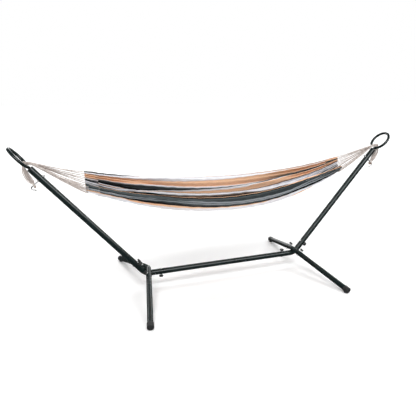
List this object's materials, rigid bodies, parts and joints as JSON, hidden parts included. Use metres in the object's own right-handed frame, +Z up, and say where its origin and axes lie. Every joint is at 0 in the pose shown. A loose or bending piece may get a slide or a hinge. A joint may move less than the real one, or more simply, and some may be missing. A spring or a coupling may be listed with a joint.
{
  "type": "hammock on stand",
  "caption": "Gathered-end striped cotton hammock hung by cord clews from ring hooks on a black steel tube stand with splayed legs.",
  "frame": {"origin": "on the floor under the middle of the stand", "axes": "+Z up, +X along the stand towards its right end, +Y from the low front rim of the cloth to its high back rim"},
  "size_m": [2.8604, 1.183, 1.0593],
  "materials": {
    "black_gloss_paint": "gloss powder coat",
    "zinc": "bright zinc plate",
    "black_plastic": "moulded, satin",
    "striped_cotton": "woven stripes",
    "cotton_cord": "twisted cotton",
    "brown_whipping": "wound twine"
  },
  "bodies": {
    "stand": {"base_bar": "black_gloss_paint", "base_bar_bolts": "zinc", "base_bar_washers": "zinc", "upright_bolts": "zinc", "upright_washers": "zinc", "leg_bolts": "zinc", "leg_washers": "zinc", "left_elbow": "black_gloss_paint", "left_foot_crosspiece": "black_gloss_paint", "left_upright": "black_gloss_paint", "left_top_plug": "black_plastic", "left_hook": "black_gloss_paint", "left_anchor_bolt": "zinc", "left_anchor_washers": "zinc", "left_rope_tail": "cotton_cord", "left_tail_whipping": "brown_whipping", "left_front_leg": "black_gloss_paint", "left_front_foot_cap": "black_plastic", "left_back_leg": "black_gloss_paint", "left_back_foot_cap": "black_plastic", "right_elbow": "black_gloss_paint", "right_foot_crosspiece": "black_gloss_paint", "right_upright": "black_gloss_paint", "right_top_plug": "black_plastic", "right_hook": "black_gloss_paint", "right_anchor_bolt": "zinc", "right_anchor_washers": "zinc", "right_rope_tail": "cotton_cord", "right_tail_whipping": "brown_whipping", "right_front_leg": "black_gloss_paint", "right_front_foot_cap": "black_plastic", "right_back_leg": "black_gloss_paint", "right_back_foot_cap": "black_plastic"},
    "hammock": {"hammock_cloth": "striped_cotton", "left_end_hem": "striped_cotton", "left_clew_cords": "cotton_cord", "left_clew_neck": "cotton_cord", "right_end_hem": "striped_cotton", "right_clew_cords": "cotton_cord", "right_clew_neck": "cotton_cord"},
    "left_base_bar_knob": {"left_base_bar_knob": "black_plastic"},
    "right_base_bar_knob": {"right_base_bar_knob": "black_plastic"},
    "left_upright_knob": {"left_upright_knob": "black_plastic"},
    "left_front_leg_knob": {"left_front_leg_knob": "black_plastic"},
    "left_back_leg_knob": {"left_back_leg_knob": "black_plastic"},
    "right_upright_knob": {"right_upright_knob": "black_plastic"},
    "right_front_leg_knob": {"right_front_leg_knob": "black_plastic"},
    "right_back_leg_knob": {"right_back_leg_knob": "black_plastic"},
    "left_wing_nut": {"left_anchor_wing_nut": "zinc"},
    "right_wing_nut": {"right_anchor_wing_nut": "zinc"}
  },
  "joints": [
    {"name": "hammock_swing", "type": "hinge", "parent": "stand", "child": "hammock", "pos_m": [0, 0, 0.95492], "axis": [1, 0, 0], "range_deg": [-40, 40]},
    {"name": "left_base_bar_knob_turn", "type": "hinge", "parent": "stand", "child": "left_base_bar_knob", "pos_m": [-0.5, 0, 0.112], "axis": [0, 0, -1], "continuous": true},
    {"name": "right_base_bar_knob_turn", "type": "hinge", "parent": "stand", "child": "right_base_bar_knob", "pos_m": [0.5, 0, 0.112], "axis": [0, 0, 1], "continuous": true},
    {"name": "left_upright_knob_turn", "type": "hinge", "parent": "stand", "child": "left_upright_knob", "pos_m": [-0.68443, 0, 0.19388], "axis": [0.7581, 0, 0.6521], "continuous": true},
    {"name": "left_front_leg_knob_turn", "type": "hinge", "parent": "stand", "child": "left_front_leg_knob", "pos_m": [-0.6092, -0.08314, 0.13451], "axis": [-0.7412, 0, 0.6713], "continuous": true},
    {"name": "left_back_leg_knob_turn", "type": "hinge", "parent": "stand", "child": "left_back_leg_knob", "pos_m": [-0.6092, 0.08314, 0.13451], "axis": [-0.7412, 0, 0.6713], "continuous": true},
    {"name": "right_upright_knob_turn", "type": "hinge", "parent": "stand", "child": "right_upright_knob", "pos_m": [0.68443, 0, 0.19388], "axis": [0.7581, 0, -0.6521], "continuous": true},
    {"name": "right_front_leg_knob_turn", "type": "hinge", "parent": "stand", "child": "right_front_leg_knob", "pos_m": [0.6092, -0.08314, 0.13451], "axis": [0.7412, 0, 0.6713], "continuous": true},
    {"name": "right_back_leg_knob_turn", "type": "hinge", "parent": "stand", "child": "right_back_leg_knob", "pos_m": [0.6092, 0.08314, 0.13451], "axis": [0.7412, 0, 0.6713], "continuous": true},
    {"name": "left_wing_nut_turn", "type": "hinge", "parent": "stand", "child": "left_wing_nut", "pos_m": [-1.25266, 0, 0.85452], "axis": [-0.7581, 0, -0.6521], "continuous": true},
    {"name": "right_wing_nut_turn", "type": "hinge", "parent": "stand", "child": "right_wing_nut", "pos_m": [1.25266, 0, 0.85452], "axis": [0.7581, 0, -0.6521], "continuous": true}
  ]
}
